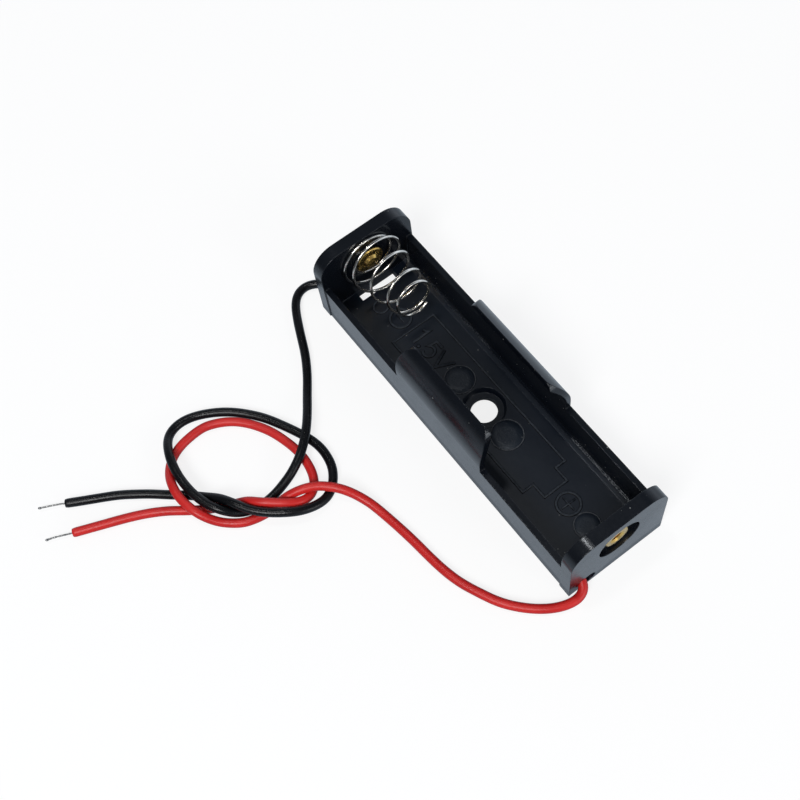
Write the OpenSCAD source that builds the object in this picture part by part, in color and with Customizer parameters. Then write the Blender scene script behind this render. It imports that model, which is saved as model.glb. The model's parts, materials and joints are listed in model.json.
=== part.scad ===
// Single round-cell holder: a moulded open tray with two sprung cell clips,
// a coil spring contact at the negative end, a riveted button contact at the
// positive end, and two insulated leads with stripped ends.
// Units are millimetres. X runs along the cell towards the positive contact,
// Y across, Z up. The origin is the centre of the tray's footprint.

/* [Cell] */
// Diameter of the bay that takes the cell
cell_diameter = 14.2; // [13.8:0.1:15]
// Length of the cell
cell_length = 50.5; // [49:0.5:52]
// Extra bay length for the pressed spring and the contact button
contact_room = 3.5; // [3:0.1:6]

/* [Tray] */
// Thickness of the floor
floor_thickness = 1.5; // [1.2:0.1:2.2]
// Thickness of the side walls and clips
side_wall = 0.85; // [0.7:0.05:1.4]
// How far the end walls stand out past the side walls
side_inset = 0.15; // [0:0.05:0.5]
// Thickness of the end walls
end_wall = 2; // [1.8:0.1:3]
// Height of the end walls above the cell axis
end_wall_rise = 5; // [3.5:0.1:6.5]
// Radius of the top corners of the end walls
end_corner_radius = 3.75; // [2:0.05:5]
// How far the low side walls stop below the cell axis
side_wall_drop = 1.5; // [0.8:0.1:3]
// Draft of the side walls inside, from axis height to floor
side_draft = 0.25; // [0:0.05:0.5]
// Height of the narrow ledge along each side of the floor
ledge_height = 0.3; // [0.1:0.05:0.6]
// Distance from the side wall foot to the floor edge of the ledge
ledge_width = 1; // [0.5:0.05:1.6]

/* [Clips] */
// Length of each clip at its foot
clip_length = 19; // [16:0.5:24]
// Position of the middle of the clips along the tray
clip_centre = 0.3; // [-2:0.1:2]
// Angle that the clips reach above the cell axis
clip_angle = 45.6; // [38:0.2:52]
// Outward lean of the clip tips
tip_lean = 15; // [0:1:40]
// How far the clip ends draw in at the tip
clip_corner_run = 2.3; // [1:0.1:4]
// Height over which the clip ends draw in
clip_corner_rise = 4.2; // [3:0.1:6]

/* [Floor openings] */
// Position of the mounting hole along the tray
hole_centre = 0.4; // [-2:0.1:2]
// Diameter of the mounting hole
hole_diameter = 4; // [3:0.1:4.4]
// Diameter of the screw head recess at the floor
recess_diameter = 6.6; // [5.6:0.1:7.4]
// Diameter of the screw head recess at its seat
seat_diameter = 5.8; // [5:0.1:7]
// Thickness left under the screw head
seat_thickness = 0.7; // [0.4:0.05:1]
// Length of the slot under the spring, across the tray
slot_length = 6.7; // [4:0.1:8]
// Width of the slot along the tray
slot_width = 1.8; // [1:0.1:2.5]
// Distance of the slot's middle from the centre line
slot_offset = 0.3; // [-1:0.1:1]

/* [End wall recesses] */
// Diameter of the round recess around each rivet
rivet_recess_diameter = 6.8; // [6:0.1:7.6]
// Depth of the round recess
rivet_recess_depth = 1.1; // [0.8:0.05:1.3]
// Length of the lead outlet across the tray
outlet_length = 3; // [2.4:0.1:4]
// Height of the lead outlet
outlet_height = 2.3; // [1.8:0.1:3]
// Depth of the lead outlet into the end wall
outlet_depth = 1.4; // [1:0.1:1.6]
// Distance of the lead outlet centre from the tray centre line
outlet_offset = 5.1; // [4:0.1:6]

/* [Rivets] */
// Diameter of the rivet shanks
shank_diameter = 2.4; // [2:0.1:3]
// Diameter of the rolled rivet rings in the end wall recesses
ring_diameter = 4; // [3.4:0.1:4.6]
// Height of the rolled rings above the recess floor
ring_height = 0.7; // [0.4:0.05:0.9]
// Diameter of the hollow in the rolled rings
ring_bore = 1.9; // [1.4:0.1:2.2]
// Diameter of the rivet flange that holds the spring
spring_rivet_flange = 4.6; // [3.6:0.1:5]
// Diameter of the positive contact flange
contact_flange = 5.2; // [4.4:0.1:6]
// Height of the positive contact button over the end wall
contact_height = 1; // [0.7:0.05:1.4]

/* [Spring] */
// Diameter of the spring wire
spring_wire = 0.46; // [0.4:0.02:0.6]
// Radius of the first coil, at the end wall
coil_base_radius = 5.2; // [4.6:0.05:5.4]
// Radius of the last coil, at the cell
coil_tip_radius = 2.8; // [2.6:0.05:3.8]
// Free length of the spring from the end wall
spring_length = 10.4; // [8:0.1:12]
// Number of coils, with the closed ones
coil_turns = 5; // [4:0.25:6]
// Sideways lean of the free end
spring_lean = 0.9; // [0:0.1:1.2]

/* [Leads] */
// Diameter over the lead insulation
lead_diameter = 1.36; // [1.2:0.02:1.6]
// Diameter of the stripped conductors
conductor_diameter = 0.56; // [0.4:0.02:0.7]
// Length of conductor stripped bare
strip_length = 4; // [3:0.5:6]

/* [Hidden] */
$fn = 64;
e = 0.01;
past = 1;
route_half_l = 29;
route_outlet = 5.1;
route_outlet_z = 1.6;
route_d = 1.36;
bay_r = cell_diameter / 2;
clip_r = bay_r + side_wall;
axis_z = floor_thickness + bay_r;
bay_length = cell_length + contact_room;
half_l = bay_length / 2 + end_wall;
half_bay = bay_length / 2;
half_w = clip_r + side_inset;
end_h = axis_z + end_wall_rise;
side_h = axis_z - side_wall_drop;
foot_y = bay_r - side_draft;
tip_y = bay_r * cos(clip_angle);
tip_z = bay_r * sin(clip_angle);
clip_top = axis_z + tip_z + side_wall * cos(tip_lean) + 0.06;
slot_x = -half_bay;
outlet_z = outlet_height / 2 + 0.45;
lead_z = lead_diameter / 2;
recess_x = half_l - rivet_recess_depth;

// Lead routes: they lie on the bench, tied once into a loose loop.
red_route = [
  [27.6, -5.6, 1.6], [28.6, -5.6, 1.5], [29.5, -5.9, 1.2], [30.1, -6.9, 0.8],
  [30.1, -8.4, 0.7], [29.4, -10.4, 0.7], [28.1, -12.4, 0.7], [26.3, -14.3, 0.7],
  [24.1, -16, 0.7], [21.5, -17.3, 0.7], [18.6, -18.5, 0.7], [15.7, -19.2, 0.7],
  [12.8, -19.6, 0.7], [10, -19.9, 0.7], [7.2, -20.3, 0.7], [4.3, -20.8, 0.7],
  [1.8, -21.4, 1], [-0.4, -22.4, 1.6], [-2, -23.5, 2.2], [-3.3, -24.6, 2.2],
  [-4.5, -25.9, 2.2], [-5.3, -27.5, 2.2], [-5.8, -28.8, 1.9], [-6.3, -30.5, 1.2],
  [-6.3, -32.1, 0.7], [-6.2, -33.8, 0.7], [-6.5, -35.4, 0.7], [-7, -37, 0.7],
  [-7.9, -38.3, 0.7], [-9.1, -39.7, 0.9], [-10.4, -40.8, 1.5], [-11.8, -41.6, 2.1],
  [-13.5, -42.1, 2.2], [-15.5, -42.4, 2.2], [-17.6, -42.2, 2.2], [-19.7, -41.6, 1.3],
  [-21.3, -40.6, 0.7], [-22.3, -39.2, 0.7], [-22.9, -37.6, 0.7], [-23.2, -35.6, 0.7],
  [-23.2, -33.6, 0.7], [-22.5, -31.7, 0.7], [-21.4, -29.9, 0.7], [-19.9, -28.4, 0.7],
  [-18.2, -27.2, 0.7], [-16.3, -26.2, 0.7], [-14.2, -25.5, 0.7], [-12.1, -25, 0.7],
  [-10, -24.8, 0.7], [-7.9, -25, 0.7], [-6.1, -25.6, 0.7], [-4.9, -26.6, 0.7],
  [-4.2, -28, 1.2], [-4.4, -29.5, 1.8], [-5.2, -30.9, 2.2], [-6.4, -32.4, 2.3],
  [-7.6, -33.8, 2.3], [-9, -34.9, 1.7], [-10, -36.1, 0.8], [-10.8, -37.7, 0.7],
  [-11.6, -39.4, 0.7], [-12.6, -41, 0.7], [-13.8, -42.7, 0.7], [-15.2, -44.5, 0.7],
  [-16.4, -46.4, 0.7], [-17.4, -48.3, 0.7], [-18.3, -50.3, 0.7], [-19.1, -52.3, 0.7],
  [-19.9, -54.3, 0.7], [-21.1, -57.3, 0.7]];
black_route = [
  [-27.6, -5.6, 1.6], [-28.8, -5.5, 1.5], [-30.6, -5.3, 1.1], [-32.2, -6.2, 0.8],
  [-33.3, -7.9, 0.7], [-33.1, -9.8, 0.7], [-31.7, -11.3, 0.7], [-29.3, -12.6, 0.7],
  [-26.6, -13.8, 0.7], [-23.6, -15.1, 0.7], [-20.6, -16.8, 0.7], [-17.8, -18.7, 0.9],
  [-15, -20.5, 1.6], [-12.7, -22.2, 2.1], [-10.9, -24, 2.1], [-9.6, -25.7, 2.1],
  [-8.7, -27.6, 1.6], [-8.2, -29.6, 1], [-7.8, -31.6, 0.7], [-7.7, -33.4, 0.7],
  [-7.9, -35, 0.7], [-8.5, -36.6, 0.9], [-9.3, -37.9, 1.6], [-10.5, -39, 2.2],
  [-12.1, -39.8, 2.2], [-14, -40.4, 2.3], [-16.2, -40.7, 2.3], [-18.5, -40.7, 2.4],
  [-20.9, -40.3, 2.4], [-23.1, -39.6, 1.9], [-24.8, -38.7, 1.2], [-25.7, -37.4, 0.9],
  [-25.9, -35.8, 0.9], [-25.6, -34, 0.8], [-24.8, -32.2, 0.8], [-23.7, -30.4, 0.8],
  [-22.3, -28.7, 0.8], [-20.6, -27.1, 0.7], [-18.7, -25.7, 0.7], [-16.5, -24.5, 0.7],
  [-14.2, -23.4, 0.7], [-12, -22.5, 0.7], [-10, -22, 0.7], [-8.1, -22, 0.7],
  [-6.2, -22.4, 0.7], [-4.6, -23.3, 0.8], [-3.3, -24.6, 0.8], [-2.6, -26.2, 1],
  [-2.6, -28.1, 1.5], [-3, -29.9, 2], [-3.9, -31.6, 2.3], [-5.2, -33.3, 2.3],
  [-6.6, -34.8, 2.4], [-8.1, -35.9, 2.4], [-9.9, -36.9, 2.5], [-11.9, -38, 1.9],
  [-13.6, -39.3, 1], [-15.1, -40.7, 0.8], [-16.4, -42.2, 0.8], [-17.8, -43.8, 0.7],
  [-19.2, -45.4, 0.7], [-20.5, -47.1, 0.7], [-21.8, -48.9, 0.7], [-22.9, -50.8, 0.7],
  [-24.2, -53.2, 0.7], [-25.7, -55.9, 0.7]];

// The routes follow the outlets when the tray changes size.
red_shift = [half_l - route_half_l, route_outlet - outlet_offset, 0];
black_shift = [route_half_l - half_l, route_outlet - outlet_offset, 0];
function lifted(route, shift) = [for (i = [0 : len(route) - 1])
  [i == 0 ? sign(route[0][0]) * (half_l - outlet_depth) : route[i][0] + shift[0],
   route[i][1] + shift[1],
   i < 4 ? max(route[i][2] + (outlet_z - route_outlet_z) * (1 - i / 4), lead_z)
     : route[i][2] * lead_diameter / route_d]];
red_path = lifted(red_route, red_shift);
black_path = lifted(black_route, black_shift);

function unit(v) = v / norm(v);
function tail(path) = unit(path[len(path) - 1] - path[len(path) - 2]);
function strand(path) = let (a = path[len(path) - 1], t = tail(path))
  [a, a + t * strip_length * 0.5, a + t * strip_length];

// Round tube swept along a list of points.
module tube(path, d, sides) {
  n = len(path);
  rings = [for (i = [0 : n - 1])
    let (t = unit(path[min(i + 1, n - 1)] - path[max(i - 1, 0)]),
         s = unit(cross(t, [0, 0, 1])),
         u = cross(s, t))
    for (k = [0 : sides - 1]) path[i]
      + d / 2 * (cos(360 * (k + 0.5) / sides) * s + sin(360 * (k + 0.5) / sides) * u)];
  walls = [for (i = [0 : n - 2]) for (k = [0 : sides - 1])
    let (a = i * sides + k, b = i * sides + (k + 1) % sides)
    each [[a, a + sides, b + sides], [a, b + sides, b]]];
  caps = [for (k = [1 : sides - 2]) each
    [[0, k, k + 1], [(n - 1) * sides, (n - 1) * sides + k + 1, (n - 1) * sides + k]]];
  polyhedron(points = rings, faces = concat(walls, caps), convexity = 10);
}

// Rounded outline of an end wall, drawn across the tray.
module end_outline() {
  r = end_corner_radius;
  union() {
    translate([-half_w, 0]) square([2 * half_w, end_h - r]);
    translate([-half_w + r, 0]) square([2 * (half_w - r), end_h]);
    for (s = [-1, 1]) translate([s * (half_w - r), end_h - r]) circle(r);
  }
}

// Places a profile drawn in Y and Z so that it runs along X.
module along_x(x0, length) {
  translate([x0, 0, 0]) rotate([90, 0, 90]) linear_extrude(length) children();
}

// Outline of the bay across the tray: flat floor, ledges, drafted sides, round top.
module bay_outline() {
  union() {
    polygon([[-(foot_y - ledge_width), floor_thickness],
      [foot_y - ledge_width, floor_thickness],
      [foot_y - 0.35, floor_thickness + ledge_height],
      [foot_y, floor_thickness + ledge_height],
      [bay_r, axis_z], [-bay_r, axis_z],
      [-foot_y, floor_thickness + ledge_height],
      [-(foot_y - 0.35), floor_thickness + ledge_height]]);
    translate([0, axis_z]) circle(bay_r);
  }
}

// Side view of a clip: straight foot, ends drawn in towards the tip.
module clip_side() {
  a = clip_length / 2;
  z0 = clip_top - clip_corner_rise;
  polygon(concat([[-a, 0], [a, 0]],
    [for (k = [0 : 10]) let (q = k * 9)
      [a - clip_corner_run * (1 - cos(q)), z0 + clip_corner_rise * sin(q)]],
    [for (k = [10 : -1 : 0]) let (q = k * 9)
      [-a + clip_corner_run * (1 - cos(q)), z0 + clip_corner_rise * sin(q)]]));
}

// Cross section of both clips, curled over the cell.
module clip_section() {
  rise = clip_r;
  difference() {
    union() {
      translate([0, axis_z]) circle(clip_r);
      translate([-clip_r, 0]) square([2 * clip_r, axis_z]);
    }
    translate([0, axis_z + tip_z]) polygon([[-tip_y, -1], [tip_y, -1], [tip_y, 0],
      [tip_y + rise * tan(tip_lean), rise], [-tip_y - rise * tan(tip_lean), rise], [-tip_y, 0]]);
  }
}

// Lead outlet: a short slot with round ends at the foot of an end wall.
module outlet() {
  r = outlet_height / 2;
  s = outlet_length / 2 - r;
  rotate([0, 90, 0]) union() {
    for (y = [-s, s]) translate([0, y, 0]) cylinder(r = r, h = outlet_depth + past);
    translate([-r, -s, 0]) cube([2 * r, 2 * s, outlet_depth + past]);
  }
}

module tray() {
  color("#1c1e22") difference() {
    union() {
      translate([-half_l + end_wall / 2, -clip_r, 0])
        cube([2 * half_l - end_wall, 2 * clip_r, side_h]);
      along_x(-half_l, end_wall) end_outline();
      along_x(half_bay, end_wall) end_outline();
      intersection() {
        along_x(-half_bay, bay_length) clip_section();
        translate([clip_centre, half_w + past, 0]) rotate([90, 0, 0])
          linear_extrude(2 * (half_w + past)) clip_side();
      }
    }
    along_x(-half_bay, bay_length) bay_outline();
    translate([hole_centre, 0, -past])
      cylinder(d = hole_diameter, h = floor_thickness + 2 * past);
    translate([hole_centre, 0, seat_thickness])
      cylinder(d1 = seat_diameter, d2 = recess_diameter, h = floor_thickness - seat_thickness + e);
    translate([slot_x, slot_offset - slot_length / 2, -past])
      cube([slot_width, slot_length, floor_thickness + 2 * past]);
    for (s = [-1, 1]) {
      translate([s * (half_l + past), 0, axis_z]) rotate([0, -90 * s, 0])
        cylinder(d = rivet_recess_diameter, h = rivet_recess_depth + past);
      translate([s * (half_l + past), 0, axis_z]) rotate([0, -90 * s, 0])
        cylinder(d = shank_diameter, h = end_wall + 2 * past);
    }
    translate([half_l - outlet_depth, -outlet_offset, outlet_z]) outlet();
    translate([-half_l - past, -outlet_offset, outlet_z]) outlet();
  }
}

// Outline of the outer half of a rivet: shank, rolled ring, hollow.
function ring_side(x) = [
  [shank_diameter / 2, x], [ring_diameter / 2 - 0.2, x], [ring_diameter / 2, x + 0.2],
  [ring_diameter / 2, x + ring_height - 0.25], [ring_diameter / 2 - 0.25, x + ring_height],
  [ring_bore / 2 + 0.25, x + ring_height], [ring_bore / 2, x + ring_height - 0.25],
  [ring_bore / 2, x - 0.5], [0, x - 0.5]];

module positive_contact() {
  w = end_wall - rivet_recess_depth;
  color("#b48a3c") translate([half_bay, 0, axis_z]) rotate([0, 90, 0]) rotate_extrude()
    polygon(concat([[0, -contact_height], [0.9, -contact_height], [1.35, -contact_height + 0.15],
      [1.6, -0.5], [contact_flange / 2 - 0.15, -0.4], [contact_flange / 2, -0.25],
      [contact_flange / 2, 0], [shank_diameter / 2, 0]], ring_side(w)));
}

module negative_rivet() {
  w = end_wall - rivet_recess_depth;
  f = spring_wire;
  color("#b48a3c") translate([-half_bay, 0, axis_z]) rotate([0, -90, 0]) rotate_extrude()
    polygon(concat([[0, -f - 1.1], [0.5, -f - 1.05], [0.95, -f - 0.85], [1.25, -f - 0.45],
      [spring_rivet_flange / 2 - 0.15, -f - 0.35], [spring_rivet_flange / 2, -f - 0.2],
      [spring_rivet_flange / 2, -f], [shank_diameter / 2, -f]], ring_side(w)));
}

// Centre line of the spring: an eye under the rivet, a flat lead-out, then
// coils that draw in and rise from the wall, and close up again at the cell.
eye_r = shank_diameter / 2 + spring_wire / 2 + 0.05;
coil_rise = spring_length - spring_wire;
coil_sweep = coil_turns * 360 - 30;
function draw_in(u) = u * (1.07 + u * (0.66 - 0.73 * u));
function rise(u) = (1 - cos(180 * min(max((u - 0.03) / 0.9, 0), 1))) / 2;
function coil_point(a) = let (u = a / (coil_turns * 360),
    r = coil_base_radius + (coil_tip_radius - coil_base_radius) * draw_in(u),
    tilt = -spring_wire * min(max((a - 180) / 360, 0), 1) * sin(a))
  [coil_rise * rise(u) + tilt, spring_lean * u + 0.2 + r * cos(a), r * sin(a) - 0.15];
spring_path = concat(
  [for (a = [-660 : 20 : -360]) [0, eye_r * cos(a), eye_r * sin(a)]],
  [for (a = [-340 : 20 : -20]) let (t = (a + 360) / 360,
      r = eye_r + (coil_base_radius - eye_r) * t * t * t)
    [0, 0.2 * t + r * cos(a), r * sin(a) - 0.15 * t]],
  [for (a = [0 : 15 : coil_sweep]) coil_point(a)]);
spring_points = [for (p = spring_path) [-half_bay + spring_wire / 2 + p[0], p[1], axis_z + p[2]]];

// Wire swept round the spring axis.
module wire(points, d, sides) {
  n = len(points);
  rings = [for (i = [0 : n - 1])
    let (t = unit(points[min(i + 1, n - 1)] - points[max(i - 1, 0)]),
         s = unit(cross([1, 0, 0], t)),
         u = cross(t, s))
    for (k = [0 : sides - 1]) points[i]
      + d / 2 * (cos(360 * k / sides + 22.5) * s + sin(360 * k / sides + 22.5) * u)];
  walls = [for (i = [0 : n - 2]) for (k = [0 : sides - 1])
    let (a = i * sides + k, b = i * sides + (k + 1) % sides)
    each [[a, b + sides, a + sides], [a, b, b + sides]]];
  caps = [for (k = [1 : sides - 2]) each
    [[0, k + 1, k], [(n - 1) * sides, (n - 1) * sides + k, (n - 1) * sides + k + 1]]];
  polyhedron(points = rings, faces = concat(walls, caps), convexity = 10);
}

module contact_spring() {
  color("#c9ccd0") wire(spring_points, spring_wire, 8);
}

module red_lead() {
  color("#b3121a") tube(red_path, lead_diameter, 8);
}

module red_conductor() {
  color("#c9c4b6") tube(strand(red_path), conductor_diameter, 8);
}

module black_lead() {
  color("#15171a") tube(black_path, lead_diameter, 8);
}

module black_conductor() {
  color("#c9c4b6") tube(strand(black_path), conductor_diameter, 8);
}

tray();
positive_contact();
negative_rivet();
contact_spring();
red_lead();
red_conductor();
black_lead();
black_conductor();
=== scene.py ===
"""Single round-cell holder with a contact spring and two flying leads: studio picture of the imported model."""
import json
import bpy
import numpy as np
from math import radians, pi
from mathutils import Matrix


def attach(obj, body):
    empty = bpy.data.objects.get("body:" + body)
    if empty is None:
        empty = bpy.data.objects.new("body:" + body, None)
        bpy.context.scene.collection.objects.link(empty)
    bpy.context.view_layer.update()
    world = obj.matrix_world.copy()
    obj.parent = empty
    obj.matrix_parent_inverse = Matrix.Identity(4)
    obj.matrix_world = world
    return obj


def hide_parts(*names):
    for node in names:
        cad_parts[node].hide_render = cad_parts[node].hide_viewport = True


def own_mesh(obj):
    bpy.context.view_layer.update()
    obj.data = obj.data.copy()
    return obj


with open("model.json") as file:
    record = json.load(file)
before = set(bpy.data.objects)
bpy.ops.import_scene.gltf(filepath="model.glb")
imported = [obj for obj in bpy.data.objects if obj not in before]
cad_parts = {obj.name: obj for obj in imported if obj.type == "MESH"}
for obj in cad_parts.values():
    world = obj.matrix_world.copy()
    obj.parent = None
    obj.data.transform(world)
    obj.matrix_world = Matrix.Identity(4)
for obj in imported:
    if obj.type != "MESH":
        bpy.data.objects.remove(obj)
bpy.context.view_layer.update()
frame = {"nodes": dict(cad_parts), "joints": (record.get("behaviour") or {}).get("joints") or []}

# Pieces are worked out in mm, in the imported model's frame, and mesh_piece() makes them metres. The camera, the
# lamps and the small distances of the shading are in metres.
MM = 0.001
FLOOR = 1.5  # top of the bay floor above the bench

# ---------------------------------------------------------------- camera
scene = bpy.context.scene
scene.view_settings.view_transform = "Standard"
lens = bpy.data.cameras.new("camera")
lens.lens, lens.sensor_width = 55.61, 36.0
lens.clip_start, lens.clip_end = 0.01, 10.0
camera = bpy.data.objects.new("camera", lens)
camera.location = (0.06293, -0.04405, 0.16238)
camera.rotation_euler = (0.45115, 0.08674, 0.93254)
scene.collection.objects.link(camera)
scene.camera = camera


# ---------------------------------------------------------------- mesh helpers
def mesh_piece(name, points, faces, finish, smooth=True):
    """A mesh from whole arrays: points (n, 3) in mm, faces a list of (m, 3) or (m, 4) arrays."""
    faces = [np.asarray(f, int) for f in faces]
    corners = np.concatenate([f.ravel() for f in faces])
    sizes = np.concatenate([np.full(len(f), f.shape[1]) for f in faces])
    starts = np.r_[0, np.cumsum(sizes)[:-1]]
    mesh = bpy.data.meshes.new(name)
    mesh.vertices.add(len(points))
    mesh.vertices.foreach_set("co", (np.asarray(points, float) * MM).astype(np.float32).ravel())
    mesh.loops.add(len(corners))
    mesh.loops.foreach_set("vertex_index", corners.astype(np.int32))
    mesh.polygons.add(len(sizes))
    mesh.polygons.foreach_set("loop_start", starts.astype(np.int32))
    mesh.polygons.foreach_set("loop_total", sizes.astype(np.int32))
    mesh.polygons.foreach_set("use_smooth", np.full(len(sizes), smooth))
    mesh.update(calc_edges=True)
    mesh.validate()
    mesh.materials.append(finish)
    piece = bpy.data.objects.new(name, mesh)
    scene.collection.objects.link(piece)
    return piece


def grid_faces(rows, cols, wrap=True):
    """Quads of a rows x cols grid of points. With wrap, the last column joins the first."""
    i, j = np.meshgrid(np.arange(rows - 1), np.arange(cols if wrap else cols - 1), indexing="ij")
    k = (j + 1) % cols
    return np.stack([i * cols + j, i * cols + k, (i + 1) * cols + k, (i + 1) * cols + j], -1).reshape(-1, 4)


def steps(path):
    """Length of each step of a path."""
    return np.linalg.norm(np.diff(path, axis=0), axis=1)


def smooth_path(points, step, rounds):
    """Catmull-Rom curve through the points, with tangent (P2 - P0) / 2 at P1, cut to even steps. Then, in each
    round, every point but the two ends moves to a quarter of one neighbour, a half of itself and a quarter of
    the other."""
    p = np.asarray(points, float)
    p = np.vstack([2 * p[0] - p[1], p, 2 * p[-1] - p[-2]])
    u = np.linspace(0, 1, 24, endpoint=False)[:, None]
    parts = []
    for a, b, c, d in zip(p[:-3], p[1:-2], p[2:-1], p[3:]):
        square, cube = 2 * a - 5 * b + 4 * c - d, 3 * b - a - 3 * c + d
        parts.append(0.5 * (2 * b + (c - a) * u + square * u ** 2 + cube * u ** 3))
    fine = np.vstack(parts + [p[-2:-1]])
    run = np.r_[0, np.cumsum(steps(fine))]
    at = np.linspace(0, run[-1], int(round(run[-1] / step)) + 1)
    path = np.stack([np.interp(at, run, fine[:, k]) for k in range(3)], 1)
    for _ in range(rounds):
        path[1:-1] = 0.25 * path[:-2] + 0.5 * path[1:-1] + 0.25 * path[2:]
    return path


def frames(path):
    """Unit tangent, side and normal at each point of a path that doesn't start straight up. The first side is
    level, and each of the others is the one before it less its part along the tangent, so nothing twists."""
    tangent = np.gradient(path, axis=0)
    tangent /= np.linalg.norm(tangent, axis=1)[:, None]
    first = np.cross(tangent[0], (0, 0, 1))
    side = [first / np.linalg.norm(first)]
    for t in tangent[1:]:
        s = side[-1] - np.dot(side[-1], t) * t
        side.append(s / np.linalg.norm(s))
    side = np.array(side)
    return tangent, side, np.cross(tangent, side)


def sweep(path, radius, sides, round_end=0.0):
    """Round section along a path: S(i, a) = P_i + r_i (side_i cos a + normal_i sin a), with one radius or one
    per point, closed at each end by a fan to a point that stands round_end beyond the path."""
    tangent, side, normal = frames(path)
    a = np.linspace(0, 2 * pi, sides, endpoint=False)[None, :, None]
    r = np.broadcast_to(radius, (len(path),))[:, None, None]
    skin = path[:, None] + (side[:, None] * np.cos(a) + normal[:, None] * np.sin(a)) * r
    tips = np.array([path[0] - tangent[0] * round_end, path[-1] + tangent[-1] * round_end])
    rows = len(path)
    j = np.arange(sides)
    k = (j + 1) % sides
    start = np.stack([np.full(sides, rows * sides), k, j], 1)
    end = np.stack([np.full(sides, rows * sides + 1), (rows - 1) * sides + j, (rows - 1) * sides + k], 1)
    return np.vstack([skin.reshape(-1, 3), tips]), [grid_faces(rows, sides), start, end]


def join(parts):
    """Several (points, faces) sets as one."""
    points, faces, base = [], [], 0
    for p, groups in parts:
        points.append(p)
        faces += [f + base for f in groups]
        base += len(p)
    return np.vstack(points), faces


# ---------------------------------------------------------------- shader helpers
class Net:
    """A node's output with arithmetic, so that a shader reads as a formula."""

    def __init__(self, tree, socket):
        self.tree, self.socket = tree, socket

    def node(self, kind, inputs, output=0, **settings):
        """A new node of the same tree: its settings first, then each input by its name or number."""
        made = self.tree.nodes.new(kind)
        for key, value in settings.items():
            setattr(made, key, value)
        for key, value in inputs.items():
            if isinstance(value, Net):
                self.tree.links.new(value.socket, made.inputs[key])
            else:
                made.inputs[key].default_value = value
        return Net(self.tree, made.outputs[output])

    def math(self, operation, *values, clamp=False):
        """One Math node on values and links."""
        return self.node("ShaderNodeMath", dict(enumerate(values)), operation=operation, use_clamp=clamp)

    def __add__(self, other):
        return self.math("ADD", self, other)

    def __sub__(self, other):
        return self.math("SUBTRACT", self, other)

    def __rsub__(self, other):
        return self.math("SUBTRACT", other, self)

    def __mul__(self, other):
        return self.math("MULTIPLY", self, other)

    __radd__, __rmul__ = __add__, __mul__

    def clamp(self):
        """Cut off below 0 and above 1."""
        return self.math("ADD", self, 0.0, clamp=True)

    def absolute(self):
        """Without its sign."""
        return self.math("ABSOLUTE", self)

    def axis(self, number):
        """One coordinate of a vector: 0, 1 or 2 for X, Y or Z."""
        return self.node("ShaderNodeSeparateXYZ", {0: self}, output=number)

    def ray(self, kind):
        """1 where the ray is of that kind, such as Is Camera Ray, and 0 elsewhere."""
        return self.node("ShaderNodeLightPath", {}, output=kind)


def material(name, colour, rough, metallic=0.0, specular=0.5):
    """A Principled material: gives the material, its shader node and the place on the piece in mm."""
    made = bpy.data.materials.new(name)
    made.use_nodes = True
    made.diffuse_color = (*colour, 1)
    tree = made.node_tree
    bsdf = tree.nodes["Principled BSDF"]
    bsdf.inputs["Base Color"].default_value = (*colour, 1)
    bsdf.inputs["Roughness"].default_value = rough
    bsdf.inputs["Metallic"].default_value = metallic
    bsdf.inputs["Specular IOR Level"].default_value = specular
    place = Net(tree, tree.nodes.new("ShaderNodeTexCoord").outputs["Object"])
    return made, bsdf, place.node("ShaderNodeVectorMath", {0: place, "Scale": 1 / MM}, operation="SCALE")


def noise(place, scale, detail=3.0, rough=0.5, distortion=0.0):
    """Fractal noise from 0 to 1, about `scale` swings to the mm."""
    sockets = {"Vector": place, "Scale": scale, "Detail": detail, "Roughness": rough, "Distortion": distortion}
    return place.node("ShaderNodeTexNoise", sockets)


def ramp(x, low, high, a=0.0, b=1.0):
    """Straight line from a at x = low to b at x = high, and level beyond them."""
    sockets = {"Value": x, "From Min": low, "From Max": high, "To Min": a, "To Max": b}
    return x.node("ShaderNodeMapRange", sockets, clamp=True)


def mix(share, a, b):
    """Colour a where the share is 0, b where it is 1. Inputs 6 and 7 are the node's two colours."""
    a, b = [v if isinstance(v, Net) else (*v, 1) for v in (a, b)]
    return share.node("ShaderNodeMix", {"Factor": share, 6: a, 7: b}, output=2, data_type="RGBA")


def link(net, socket):
    """Feeds a socket of a node that Net didn't make."""
    net.tree.links.new(net.socket, socket)


def bump(height, strength, distance, normal=None):
    """Normal tilted by the slope of a height, on top of another normal if one is given."""
    sockets = {"Height": height, "Strength": strength, "Distance": distance}
    if normal is not None:
        sockets["Normal"] = normal
    return height.node("ShaderNodeBump", sockets)


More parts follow.
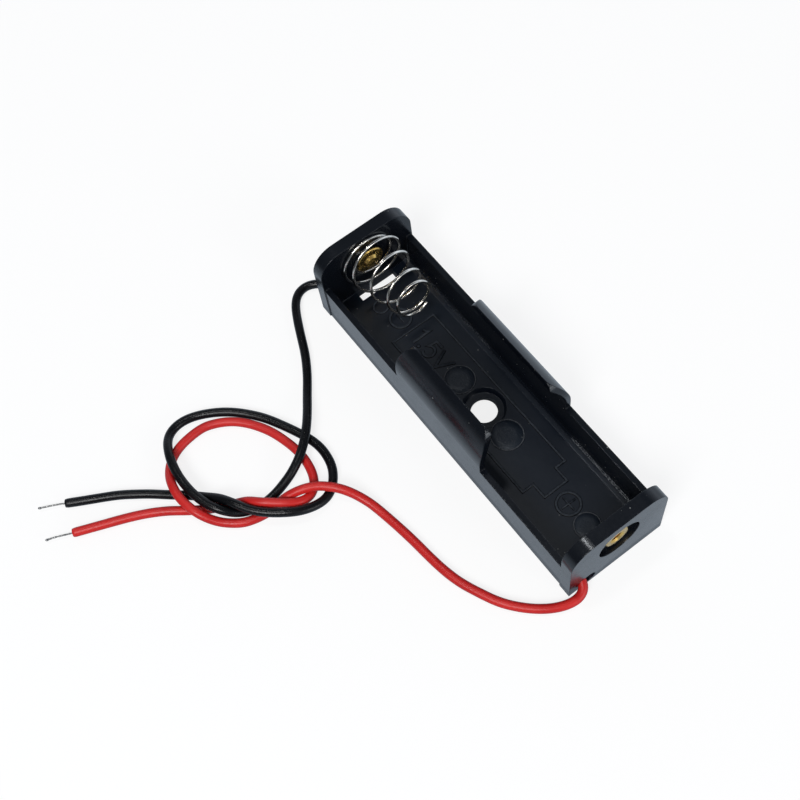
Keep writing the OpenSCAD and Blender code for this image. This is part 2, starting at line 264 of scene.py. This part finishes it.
# ---------------------------------------------------------------- materials
def plastic(name, colour, rough, edge, pits):
    """Moulded black plastic: slow flow marks in the gloss, fine pits, dust specks, a bay floor painted bluer and
    paler as a painted reflection of the cool sky, and edges that are rounded in the shading by the radius
    `edge`, in metres."""
    made, bsdf, place = material(name, colour, rough)
    bsdf.inputs["Specular Tint"].default_value = (0.92, 0.96, 1.0, 1)
    flow = noise(place, 0.16, 4.0, 0.55, 0.4)
    fine = noise(place, 2.2, 5.0, 0.6)
    grit = noise(place, 9.0, 2.0)
    cells = place.node("ShaderNodeTexVoronoi", {"Vector": place, "Scale": 0.9, "Randomness": 1.0})
    dust = (ramp(cells, 0.11, 0.06) * ramp(noise(place, 0.35, 2.0), 0.52, 0.62)).clamp()
    # Painted reflection: the bay floor, below FLOOR + 0.4 mm, is painted bluer and paler, as the cool sky makes
    # it look; the same mask also makes it rougher.
    low = ramp(place.axis(2), FLOOR + 0.4, FLOOR + 0.1)
    tone = mix(ramp(flow, 0.3, 0.7), [0.85 * v for v in colour], [1.2 * v for v in colour])
    tone = mix(low, tone, (colour[0], 1.35 * colour[1], 1.7 * colour[2]))
    link(mix(dust * 0.7, tone, (0.26, 0.26, 0.25)), bsdf.inputs["Base Color"])
    gloss = ramp(flow, 0.3, 0.7, rough * 0.9, rough * 1.15) + ramp(fine, 0.35, 0.7, -0.02, 0.03)
    link((gloss + low * 0.10 + dust * 0.3).clamp(), bsdf.inputs["Roughness"])
    normal = place.node("ShaderNodeBevel", {"Radius": edge}, samples=6)
    for height, strength, distance in ((flow, 0.05, 6e-4), (fine, 0.08 * pits, 6e-5),
                                       (grit, 0.10 * pits, 3e-5)):
        normal = bump(height, strength, distance, normal)
    link(normal, bsdf.inputs["Normal"])
    return made


def raised(name, foot, crest_highlight, lift):
    """Moulded lines on the bay floor, `lift` high: painted shade, darker at the foot, and a painted highlight,
    paler on the crest in patches of noise.
    """
    made, bsdf, place = material(name, crest_highlight, 0.4, specular=0.15)
    # Painted highlight and painted shade: by height, the crest is painted pale and the foot dark.
    up = ramp(place.axis(2), FLOOR + 0.6 * lift, FLOOR + 0.95 * lift)
    highlight_patches = ramp(noise(place, 2.6, 4.0, 0.65), 0.42, 0.62)
    link(mix(up * (0.6 + 0.4 * highlight_patches), foot, crest_highlight), bsdf.inputs["Base Color"])
    link(0.65 - 0.25 * up, bsdf.inputs["Roughness"])
    link(bump(highlight_patches, 0.3, 2e-5), bsdf.inputs["Normal"])
    return made


def pvc(name, dark, light, rough, specular):
    """Soft insulation: slow swings of tone, and fine noise in the gloss and the bump."""
    made, bsdf, place = material(name, light, rough, specular=specular)
    slow = ramp(noise(place, 0.22), 0.3, 0.7)
    fine = noise(place, 4.5, 4.0, 0.65)
    link(mix(slow, dark, light), bsdf.inputs["Base Color"])
    gloss = ramp(slow, 0, 1, rough - 0.05, rough + 0.06) + ramp(fine, 0.35, 0.7, -0.02, 0.05)
    link(gloss.clamp(), bsdf.inputs["Roughness"])
    link(bump(fine, 0.45, 5e-5), bsdf.inputs["Normal"])
    return made


def metal(name, dark, light, rough, scale, marks):
    """Drawn or stamped metal: tone and gloss vary in blotches, with fine rubbed marks."""
    made, bsdf, place = material(name, light, rough, metallic=1.0)
    blot = noise(place, scale, 4.0, 0.6, 0.3)
    fine = noise(place, scale * 9, 3.0, 0.6)
    link(mix(ramp(blot, 0.32, 0.68), dark, light), bsdf.inputs["Base Color"])
    gloss = ramp(blot, 0.3, 0.7, rough + 0.05, rough - 0.04) + ramp(fine, 0.4, 0.7, -0.03, 0.06)
    link(gloss.clamp(), bsdf.inputs["Roughness"])
    link(bump(fine, marks, 3e-5), bsdf.inputs["Normal"])
    return made


MARK_HEIGHT, RIM_HEIGHT = 0.12, 0.07

black_plastic = plastic("black_plastic", (0.0036, 0.0050, 0.0080), rough=0.22, edge=0.00016, pits=1.0)
black_discs = plastic("black_plastic_discs", (0.0075, 0.0095, 0.0130), rough=0.36, edge=0.00004, pits=9.0)
# The marks and the rims carry painted shade at the foot and a painted highlight on the crest.
black_marks = raised("black_plastic_marks", (0.0004, 0.0005, 0.0008), (0.040, 0.048, 0.060), MARK_HEIGHT)
black_rims = raised("black_plastic_rims", (0.003, 0.004, 0.006), (0.080, 0.088, 0.100), RIM_HEIGHT)
red_pvc = pvc("red_insulation", (0.60, 0.014, 0.013), (0.74, 0.026, 0.022), 0.36, specular=0.42)
black_pvc = pvc("black_insulation", (0.002, 0.0024, 0.0032), (0.0045, 0.005, 0.0065), 0.27, specular=0.30)
brass = metal("contact_brass", (0.66, 0.42, 0.12), (0.82, 0.56, 0.17), 0.24, scale=0.6, marks=0.03)
nickel = metal("spring_wire", (0.60, 0.57, 0.52), (0.94, 0.91, 0.84), 0.15, scale=1.2, marks=0.2)
tinned = metal("tinned_copper", (0.20, 0.20, 0.20), (0.42, 0.42, 0.41), 0.34, scale=2.0, marks=0.2)

# ---------------------------------------------------------------- leads
# Each route repeats the points of the solid lead, from its outlet in the tray to its cut end.
red_route = [
  (27.6, -5.6, 1.6), (28.6, -5.6, 1.5), (29.5, -5.9, 1.2), (30.1, -6.9, 0.8),
  (30.1, -8.4, 0.7), (29.4, -10.4, 0.7), (28.1, -12.4, 0.7), (26.3, -14.3, 0.7),
  (24.1, -16, 0.7), (21.5, -17.3, 0.7), (18.6, -18.5, 0.7), (15.7, -19.2, 0.7),
  (12.8, -19.6, 0.7), (10, -19.9, 0.7), (7.2, -20.3, 0.7), (4.3, -20.8, 0.7),
  (1.8, -21.4, 1), (-0.4, -22.4, 1.6), (-2, -23.5, 2.2), (-3.3, -24.6, 2.2),
  (-4.5, -25.9, 2.2), (-5.3, -27.5, 2.2), (-5.8, -28.8, 1.9), (-6.3, -30.5, 1.2),
  (-6.3, -32.1, 0.7), (-6.2, -33.8, 0.7), (-6.5, -35.4, 0.7), (-7, -37, 0.7),
  (-7.9, -38.3, 0.7), (-9.1, -39.7, 0.9), (-10.4, -40.8, 1.5), (-11.8, -41.6, 2.1),
  (-13.5, -42.1, 2.2), (-15.5, -42.4, 2.2), (-17.6, -42.2, 2.2), (-19.7, -41.6, 1.3),
  (-21.3, -40.6, 0.7), (-22.3, -39.2, 0.7), (-22.9, -37.6, 0.7), (-23.2, -35.6, 0.7),
  (-23.2, -33.6, 0.7), (-22.5, -31.7, 0.7), (-21.4, -29.9, 0.7), (-19.9, -28.4, 0.7),
  (-18.2, -27.2, 0.7), (-16.3, -26.2, 0.7), (-14.2, -25.5, 0.7), (-12.1, -25, 0.7),
  (-10, -24.8, 0.7), (-7.9, -25, 0.7), (-6.1, -25.6, 0.7), (-4.9, -26.6, 0.7),
  (-4.2, -28, 1.2), (-4.4, -29.5, 1.8), (-5.2, -30.9, 2.2), (-6.4, -32.4, 2.3),
  (-7.6, -33.8, 2.3), (-9, -34.9, 1.7), (-10, -36.1, 0.8), (-10.8, -37.7, 0.7),
  (-11.6, -39.4, 0.7), (-12.6, -41, 0.7), (-13.8, -42.7, 0.7), (-15.2, -44.5, 0.7),
  (-16.4, -46.4, 0.7), (-17.4, -48.3, 0.7), (-18.3, -50.3, 0.7), (-19.1, -52.3, 0.7),
  (-19.9, -54.3, 0.7), (-21.1, -57.3, 0.7)]
black_route = [
  (-27.6, -5.6, 1.6), (-28.8, -5.5, 1.5), (-30.6, -5.3, 1.1), (-32.2, -6.2, 0.8),
  (-33.3, -7.9, 0.7), (-33.1, -9.8, 0.7), (-31.7, -11.3, 0.7), (-29.3, -12.6, 0.7),
  (-26.6, -13.8, 0.7), (-23.6, -15.1, 0.7), (-20.6, -16.8, 0.7), (-17.8, -18.7, 0.9),
  (-15, -20.5, 1.6), (-12.7, -22.2, 2.1), (-10.9, -24, 2.1), (-9.6, -25.7, 2.1),
  (-8.7, -27.6, 1.6), (-8.2, -29.6, 1), (-7.8, -31.6, 0.7), (-7.7, -33.4, 0.7),
  (-7.9, -35, 0.7), (-8.5, -36.6, 0.9), (-9.3, -37.9, 1.6), (-10.5, -39, 2.2),
  (-12.1, -39.8, 2.2), (-14, -40.4, 2.3), (-16.2, -40.7, 2.3), (-18.5, -40.7, 2.4),
  (-20.9, -40.3, 2.4), (-23.1, -39.6, 1.9), (-24.8, -38.7, 1.2), (-25.7, -37.4, 0.9),
  (-25.9, -35.8, 0.9), (-25.6, -34, 0.8), (-24.8, -32.2, 0.8), (-23.7, -30.4, 0.8),
  (-22.3, -28.7, 0.8), (-20.6, -27.1, 0.7), (-18.7, -25.7, 0.7), (-16.5, -24.5, 0.7),
  (-14.2, -23.4, 0.7), (-12, -22.5, 0.7), (-10, -22, 0.7), (-8.1, -22, 0.7),
  (-6.2, -22.4, 0.7), (-4.6, -23.3, 0.8), (-3.3, -24.6, 0.8), (-2.6, -26.2, 1),
  (-2.6, -28.1, 1.5), (-3, -29.9, 2), (-3.9, -31.6, 2.3), (-5.2, -33.3, 2.3),
  (-6.6, -34.8, 2.4), (-8.1, -35.9, 2.4), (-9.9, -36.9, 2.5), (-11.9, -38, 1.9),
  (-13.6, -39.3, 1), (-15.1, -40.7, 0.8), (-16.4, -42.2, 0.8), (-17.8, -43.8, 0.7),
  (-19.2, -45.4, 0.7), (-20.5, -47.1, 0.7), (-21.8, -48.9, 0.7), (-22.9, -50.8, 0.7),
  (-24.2, -53.2, 0.7), (-25.7, -55.9, 0.7)]

LEAD = 1.36  # outside diameter of the insulation
STRIP = 4.0  # length of the bare end
STRAND, TWIST = 0.086, 2.4  # diameter of a strand, and the length of one turn of the twist
BEAD = 0.19  # radius of the bead of solder


def lead(colour, route, insulation, phase):
    """Insulated lead and its bare end. The tube follows a smooth path through the route, and its radius is
    LEAD / 2, drawn in by 10% e^(-left / 0.12) at the cut end, with ripples of 0.4% and 0.3%. Six strands wind
    round a seventh: each lies at tip + STRIP s tangent + STRAND (cos, sin)(2 pi STRIP s / TWIST + k pi / 3) in
    the side and the normal, and splays and ends a little differently. All bend aside by 0.16 s sin(2.6 s +
    phase), and the bead is an ellipsoid at the end of the seventh."""
    path = smooth_path(route, 0.35, rounds=8)
    run = np.r_[0, np.cumsum(steps(path))]
    ripple = 1 + 0.004 * np.sin(run * 0.9 + phase) + 0.003 * np.sin(run * 2.3)
    radius = LEAD / 2 * (1 - 0.10 * np.exp((run - run[-1]) / 0.12)) * ripple
    tube = mesh_piece(colour + "_lead_insulation", *sweep(path, radius, 28), insulation)

    tangent, side, normal = [v[-1] for v in frames(path)]
    s = np.linspace(-0.3, 1.0, 30)  # it starts inside the tube
    out = np.clip(s, 0, 1)
    bend = 0.16 * np.sin(out * 2.6 + phase) * out
    parts = []
    for k in range(7):
        turn = 2 * pi * s * STRIP / TWIST + k * pi / 3 + phase
        splay = 0.0 if k == 6 else STRAND * 1.01 * (1 + 0.2 * out ** 4 * ((k * 5 + 2) % 7) / 6)
        length = STRIP * (1 - 0.03 * ((k * 3) % 7) / 6)
        strand = (path[-1] + np.outer(s * length, tangent) + np.outer(splay * np.cos(turn) + bend, side)
                  + np.outer(splay * np.sin(turn), normal))
        parts.append(sweep(strand, STRAND / 2, 10, 0.03))
    bead = strand[-1] + np.outer(np.linspace(-0.42, 0.12, 14), tangent)
    girth = np.sqrt(1 - np.linspace(-0.98, 0.98, 14) ** 2)
    parts.append(sweep(bead, BEAD * girth, 14, 0.01))
    return tube, mesh_piece(colour + "_lead_strands", *join(parts), tinned), path


for colour, route, insulation, phase in (("red", red_route, red_pvc, 0.4),
                                         ("black", black_route, black_pvc, 1.9)):
    tube, strands, path = lead(colour, route, insulation, phase)
    for piece, node, slot in ((tube, colour + "_lead", colour + "_insulation"),
                              (strands, colour + "_conductor", "tinned_copper")):
        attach(piece, "holder")
        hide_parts(node)
    tuple(path[0] * MM)
    [tuple(q) for q in path * MM]

# ---------------------------------------------------------------- contact spring
press = next(joint for joint in frame["joints"] if joint["name"] == "spring_press")
TRAVEL = press["range_m"][1] / MM
WALL_X, AXIS_Z = -27.0, 8.6  # inside face of the negative end wall, and the height of the cell's axis
WIRE = 0.46
WALL_GAP = 0.03  # keeps the coil's foot off the wall
NECK, SLACK = 1.2, 0.05  # radius of the rivet's neck, and the gap round it
EYE = NECK + SLACK + WIRE / 2  # radius of the wire's centre in the eye
FOOT = 4.65  # widest radius of the coil
RISE = 9.94  # how far the wire's centre gets from its foot
LEAN = 0.9  # how far the coil's axis leans in Y over 1800 degrees
OPEN, END = 100, 1750  # angles where the wire leaves the wall and where it ends


def spring_line():
    """Conical coil about X. From OPEN to END, with a in degrees and u = a / 1800, it lies at y = 0.2 + LEAN u +
    R cos a and z = AXIS_Z - 0.15 + R sin a, where R = 5.35 - 0.15 u - 2.4 u (1.07 + 0.66 u - 0.73 u^2), but at
    most FOOT. It rises by RISE (1 - cos(180 w)) / 2, where w goes from 0 to 1 over u = 0.03 to 0.93, less a
    tilt of WIRE sin a that grows from a = 180 to 540. Before OPEN it lies flat: the eye, from -660 to -360,
    then r = EYE + (FOOT - EYE) t^1.3, with t from 0 to 1."""
    eye = np.radians(np.arange(-660, -359, 5.0))
    flat = np.radians(np.arange(-355, OPEN, 5.0))
    t = (flat + 2 * pi) / radians(360 + OPEN)
    lead_out = EYE + (FOOT - EYE) * t ** 1.3
    degrees = np.arange(OPEN, END + 1, 5.0)
    coil = np.radians(degrees)
    u = degrees / 1800
    radius = np.minimum(FOOT, 5.35 - 0.15 * u - 2.4 * u * (1.07 + u * (0.66 - 0.73 * u)))
    tilt = WIRE * np.clip((degrees - 180) / 360, 0, 1) * np.sin(coil)
    rise = RISE * (1 - np.cos(pi * np.clip((u - 0.03) / 0.9, 0, 1))) / 2 - tilt
    x = np.concatenate([0 * eye, rise[0] * t ** 4, rise])
    y = np.concatenate([EYE * np.cos(eye), 0.25 * t + lead_out * np.cos(flat),
                        0.2 + LEAN * u + radius * np.cos(coil)])
    z = np.concatenate([EYE * np.sin(eye), lead_out * np.sin(flat) - 0.15 * t, radius * np.sin(coil) - 0.15])
    return np.stack([WALL_X + WALL_GAP + WIRE / 2 + x, y, AXIS_Z + z], 1)


line = spring_line()
coil = mesh_piece("contact_coil", *sweep(line, WIRE / 2, 16), nickel)
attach(coil, "spring")
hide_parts("contact_spring")
# The tip travels with the spring body. Below, the free length from the wall to the tip of the wire and the share
# of it left at full travel are worked out, rounded down to stay clear of the wall, but not used.
free = float(line[:, 0].max() + WIRE / 2 - WALL_X)
int(1000 * (1 - TRAVEL / free)) / 1000
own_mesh(coil)


# ---------------------------------------------------------------- marks on the bay floor
def rib(line, width, height, closed=False):
    """Raised line on the floor. At each point P of a flat path with side n, its section is P + n c width / 2 at
    FLOOR + v height, through (c, v) = (1, -0.2), (0.95, 0.1), (0.6, 0.92), (0.45, 1), (0, 1) and their mirror
    images. At a corner n is the sum of the two sides, stretched to a mitre."""
    p = np.asarray(line, float)
    ahead = np.roll(p, -1, 0) - p
    ahead /= np.linalg.norm(ahead, axis=1)[:, None]
    if not closed:
        ahead[-1] = ahead[-2]
    behind = np.roll(ahead, 1, 0)
    if not closed:
        behind[0] = ahead[0]
    n0, n1 = (np.stack([-v[:, 1], v[:, 0]], 1) for v in (behind, ahead))
    n = (n0 + n1) / (1 + (n0 * n1).sum(1))[:, None]
    c = np.array([1, 0.95, 0.6, 0.45, 0, -0.45, -0.6, -0.95, -1])
    v = np.array([-0.2, 0.1, 0.92, 1, 1, 1, 0.92, 0.1, -0.2])
    across = p[:, None] + n[:, None] * (width / 2 * c)[None, :, None]
    up = np.broadcast_to((FLOOR + height * v)[None, :, None], (len(p), 9, 1))
    rows = np.concatenate([across, up], 2)
    if closed:
        rows = np.concatenate([rows, rows[:1]])
    faces = [grid_faces(len(rows), 9, wrap=False)[:, ::-1]]
    if not closed:
        k = np.arange(1, 8)
        last = 9 * (len(rows) - 1)
        faces += [np.stack([0 * k, k, k + 1], 1), np.stack([last + 0 * k, last + k + 1, last + k], 1)]
    return rows.reshape(-1, 3), faces


def arc(x, y, rx, ry, start, end, count):
    """Points (x + rx cos a, y + ry sin a), with a from start to end in degrees."""
    a = np.radians(np.linspace(start, end, count))
    return np.stack([x + rx * np.cos(a), y + ry * np.sin(a)], 1)


def ring(x, y, r, width, height):
    """Closed rib along a circle, of 48 steps."""
    return rib(arc(x, y, r, r, 0, 360, 49)[:-1], width, height, closed=True)


def turned(x, y, profile):
    """Surface of revolution about a vertical line: (x + r cos a, y + r sin a, z) over the profile's (r, z)."""
    r, z = np.array(profile, float).T[:, :, None]
    a = np.linspace(0, 2 * pi, 48, endpoint=False)
    points = np.stack([x + r * np.cos(a), y + r * np.sin(a), z + 0 * a], 2)
    return points.reshape(-1, 3), [grid_faces(len(profile), 48)]


CELL_START, CELL_END, NUB_END = -16.5, 13.95, 16.43
CELL_SIDES, NUB_SIDES = (-3.85, 3.72), (-1.95, 2.05)
LINE, LETTER, SIGN, CIRCLE = 0.44, 0.56, 0.34, 0.5  # widths of the raised lines
POLE = 0.001  # innermost radius of a turned top, too small to be seen as a hole

cell = [(CELL_START, CELL_SIDES[0]), (CELL_END, CELL_SIDES[0]), (CELL_END, NUB_SIDES[0]),
        (NUB_END, NUB_SIDES[0]), (NUB_END, NUB_SIDES[1]),
        (CELL_END, NUB_SIDES[1]), (CELL_END, CELL_SIDES[1]), (CELL_START, CELL_SIDES[1])]
one = [(-15.4, 0.9), (-14.85, 1.15), (-14.62, 1.4), (-14.62, -1.5)]
five = np.vstack([[(-11.1, 1.3), (-12.5, 1.3), (-12.68, 0.0)], arc(-11.95, -0.58, 0.88, 0.92, 125, -140, 20)])
vee = [(-10.6, 1.3), (-9.3, -1.5), (-8.0, 1.3)]
point = [(0.34, FLOOR - 0.02), (0.32, FLOOR + 0.02), (0.18, FLOOR + MARK_HEIGHT), (POLE, FLOOR + MARK_HEIGHT)]

marks = [
    rib(cell, LINE, MARK_HEIGHT, closed=True),
    rib(one, LETTER, MARK_HEIGHT),
    rib(five, LETTER, MARK_HEIGHT),
    rib(vee, LETTER, MARK_HEIGHT),
    turned(-13.6, -1.25, point),
    ring(19.2, 0, 1.7, CIRCLE, MARK_HEIGHT),
    rib([(18.0, 0), (20.4, 0)], SIGN, MARK_HEIGHT + 0.001),  # above the other stroke, so no faces coincide
    rib([(19.2, -1.2), (19.2, 1.2)], SIGN, MARK_HEIGHT),
    ring(-19.1, -0.5, 1.6, CIRCLE, MARK_HEIGHT),
    rib([(-20.0, -0.5), (-18.2, -0.5)], SIGN, MARK_HEIGHT),
    ring(-22.6, -1.6, 1.1, 0.4, MARK_HEIGHT),
]
rims, discs = [], []
for x, y, r in ((-5.4, 0.1, 2.42), (5.8, -0.05, 2.5), (23.2, 0, 2.0)):
    rims.append(ring(x, y, r - 0.12, 0.26, RIM_HEIGHT))
    discs.append(turned(x, y, [(r - 0.1, FLOOR - 0.02), (r - 0.12, FLOOR + 0.02),
                               (r * 0.5, FLOOR + 0.025), (POLE, FLOOR + 0.025)]))
for name, parts, finish in (("floor_marks", marks, black_marks), ("ejector_rims", rims, black_rims),
                            ("ejector_discs", discs, black_discs)):
    piece = mesh_piece(name, *join(parts), finish)
    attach(piece, "holder")

# ---------------------------------------------------------------- solids that stay
for node, finish in (("tray", black_plastic), ("positive_contact", brass), ("negative_rivet", brass)):
    solid = frame["nodes"][node].data
    solid.materials.clear()
    solid.materials.append(finish)


# ---------------------------------------------------------------- bench, lamps, sky
def bench_finish():
    """Grey bench that holds the shadow. To the camera it also glows, up to white. In gloss it glows a dim blue
    grey, a painted reflection that is weakest far in front and strongest behind the tray, with a painted shadow
    that cuts it to 15% beneath the tray."""
    made, bsdf, place = material("bench", (0.22, 0.22, 0.22), 0.6, specular=0.2)
    bsdf.inputs["Emission Strength"].default_value = 1.0
    link(ramp(noise(place, 0.02), 0.3, 0.7, 0.55, 0.65), bsdf.inputs["Roughness"])
    along, back = place.axis(0), place.axis(1)
    # Painted shadow: the glow seen in gloss is cut to 15% beneath the tray.
    painted_tray_shadow = ramp(along.absolute(), 29.5, 27.0) * ramp(back.absolute(), 8.5, 6.0)
    # Painted reflection: what the plastic and metal see of the bench in gloss, set dimmer in front and brighter
    # behind the tray.
    painted_reflection_glow = place.ray("Is Glossy Ray") + place.ray("Is Transmission Ray")
    painted_reflection_glow = painted_reflection_glow * (ramp(back, -150, -30, 0.1, 1.0) + ramp(back, 5, 60, 0.0, 1.3)) * (1.0 - 0.85 * painted_tray_shadow)
    seen = mix(place.ray("Is Camera Ray"), mix(painted_reflection_glow, (0, 0, 0), (0.36, 0.43, 0.51)), (0.81, 0.81, 0.81))
    link(seen, bsdf.inputs["Emission Color"])
    return made


def lamp(name, azimuth, elevation, distance, size, power):
    """Square lamp that faces the origin, from an azimuth off X and an elevation in degrees; sizes in metres."""
    data = bpy.data.lights.new(name, "AREA")
    data.size, data.energy = size, power
    made = bpy.data.objects.new(name, data)
    a, e = radians(azimuth), radians(elevation)
    made.location = (distance * np.cos(e) * np.cos(a), distance * np.cos(e) * np.sin(a), distance * np.sin(e))
    made.rotation_euler = (pi / 2 - e, 0, a + pi / 2)
    scene.collection.objects.link(made)


def studio_sky():
    """World: white to the camera. Elsewhere it goes from `low` at the horizon, which is 0.08 on the -Y side and
    1.2 on the +Y side, to 0.12 overhead, with a cool tint."""
    world = bpy.data.worlds.new("studio")
    world.use_nodes = True
    tree = world.node_tree
    way = Net(tree, tree.nodes.new("ShaderNodeTexCoord").outputs["Generated"])
    low = ramp(way.axis(1), -0.6, 0.5, 0.08, 1.2)
    sky = low + ramp(way.axis(2), 0.05, 0.75) * (0.12 - low)
    tinted = mix(sky, (0, 0, 0), (0.88, 0.96, 1.08))
    link(mix(way.ray("Is Camera Ray"), tinted, (1, 1, 1)), tree.nodes["Background"].inputs["Color"])
    return world


HALF = 700.0  # half the side of the bench
corners = [(-HALF, -HALF, -0.02), (HALF, -HALF, -0.02), (HALF, HALF, -0.02), (-HALF, HALF, -0.02)]
bench = mesh_piece("bench", corners, [[[0, 1, 2, 3]]], bench_finish(), smooth=False)
lamp("softbox", azimuth=-165, elevation=77, distance=0.9, size=0.08, power=0.8)
lamp("key", azimuth=-60, elevation=50, distance=1.0, size=0.4, power=5.6)
lamp("rim", azimuth=15, elevation=24, distance=1.0, size=0.26, power=1.4)
scene.world = studio_sky()
